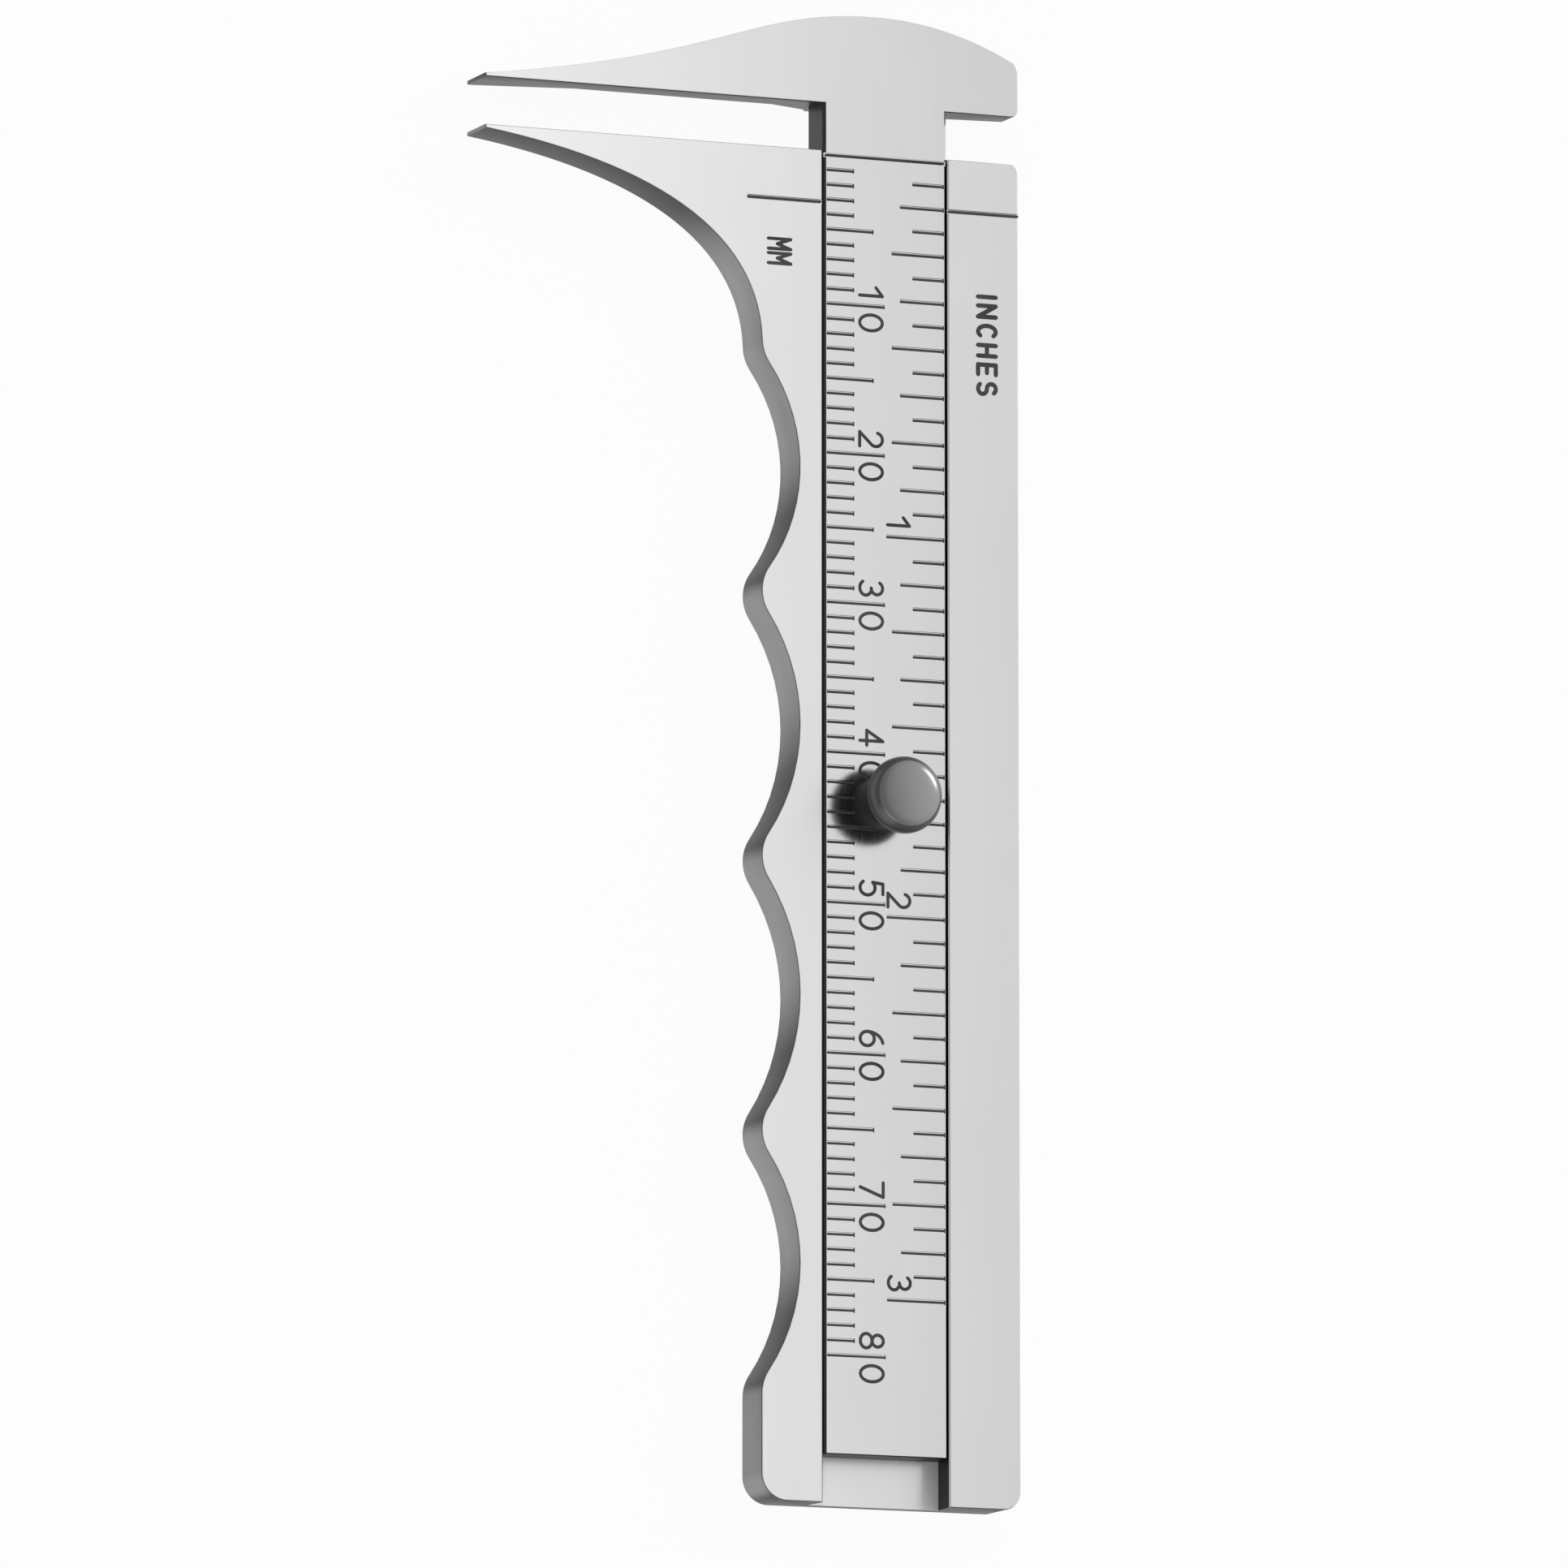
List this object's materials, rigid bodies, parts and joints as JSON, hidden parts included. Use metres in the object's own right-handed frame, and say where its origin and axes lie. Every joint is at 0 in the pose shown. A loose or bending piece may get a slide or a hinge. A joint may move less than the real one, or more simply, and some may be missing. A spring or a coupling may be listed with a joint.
{
  "type": "surgical caliper",
  "caption": "Sliding surgical caliper: scalloped steel body with a fixed jaw, and a graduated slide with a moving jaw and a thumb knob.",
  "frame": {"origin": "on the surface that the flat back rests on, under the middle of the whole instrument", "axes": "+Z out of the graduated face, +Y along the slide towards the moving jaw, +X away from the jaw tips"},
  "size_m": [0.0382, 0.0992, 0.0078],
  "materials": {
    "body_steel": "satin stainless steel, faces grained lengthwise, edges ground",
    "slide_steel": "satin stainless steel, a little more polished than the body",
    "knob_steel": "turned and polished stainless steel",
    "spring_steel": "hardened spring strip",
    "pin_steel": "ground dowel steel",
    "black_fill": "matt black filler set in the engraved lines"
  },
  "bodies": {
    "frame": {"body": "body_steel", "stop_pin": "pin_steel", "index_marks": "black_fill"},
    "slider": {"slide": "slide_steel", "thumb_knob": "knob_steel", "drag_spring": "spring_steel", "millimetre_marks": "black_fill", "inch_marks": "black_fill"}
  },
  "joints": [
    {"name": "slide_travel", "type": "slide", "parent": "frame", "child": "slider", "axis": [0, 1, 0], "range_m": [-0.0032, 0.0768]}
  ]
}
